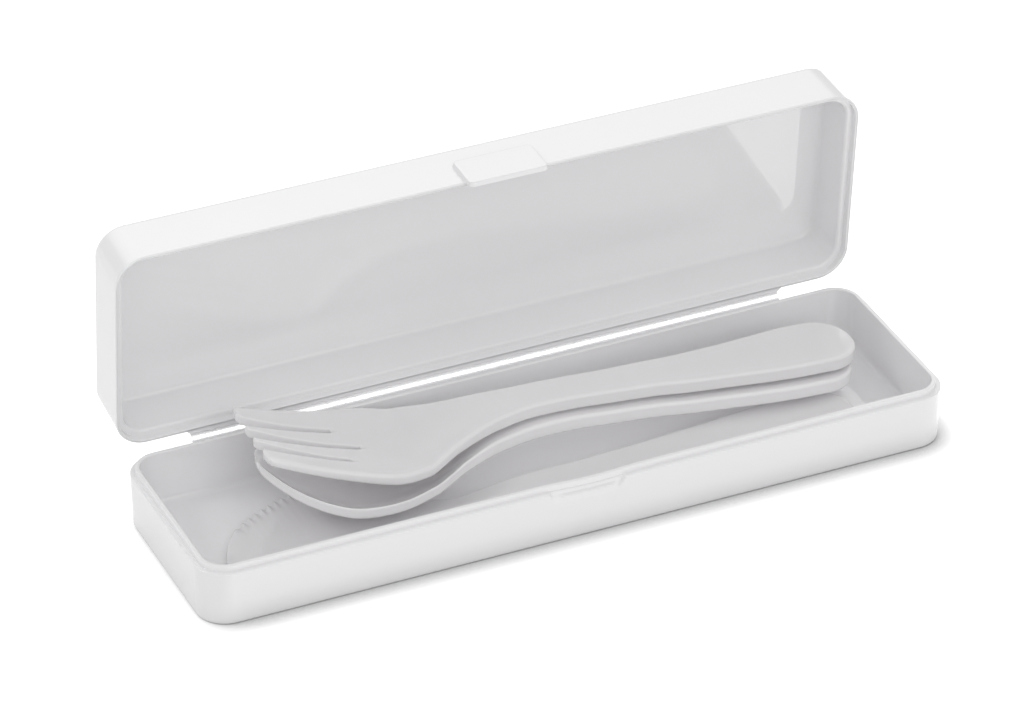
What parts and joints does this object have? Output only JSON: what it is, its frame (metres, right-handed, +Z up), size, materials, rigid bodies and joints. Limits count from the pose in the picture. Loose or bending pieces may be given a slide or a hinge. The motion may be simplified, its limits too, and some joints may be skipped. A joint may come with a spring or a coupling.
{
  "type": "cutlery pack",
  "caption": "Slim hinged plastic case, open, with a fork, a spoon and a knife lying stacked in its tray.",
  "frame": {"origin": "on the table, under the middle of the case's base tray", "axes": "+Z up, +X along the case towards the handle ends of the cutlery, -Y towards the front wall with the snap recess, +Y towards the hinge"},
  "size_m": [0.19, 0.0701, 0.0708],
  "materials": {
    "case_white": "smooth moulded, semi gloss",
    "lid_white": "smooth moulded, semi gloss",
    "film_white": "smooth moulded, thin and flexible",
    "fork_white": "smooth moulded, semi gloss",
    "spoon_white": "smooth moulded, semi gloss",
    "knife_white": "smooth moulded, semi gloss"
  },
  "bodies": {
    "base": {"case_base": "case_white", "hinge_film": "film_white", "fork": "fork_white", "spoon": "spoon_white", "knife": "knife_white"},
    "lid": {"case_lid": "lid_white"}
  },
  "joints": [
    {"name": "lid_hinge", "type": "hinge", "parent": "base", "child": "lid", "pos_m": [0, 0.0287, 0.01415], "axis": [-1, 0, 0], "range_deg": [-85.3, 80], "deforming": ["hinge_film"]}
  ]
}
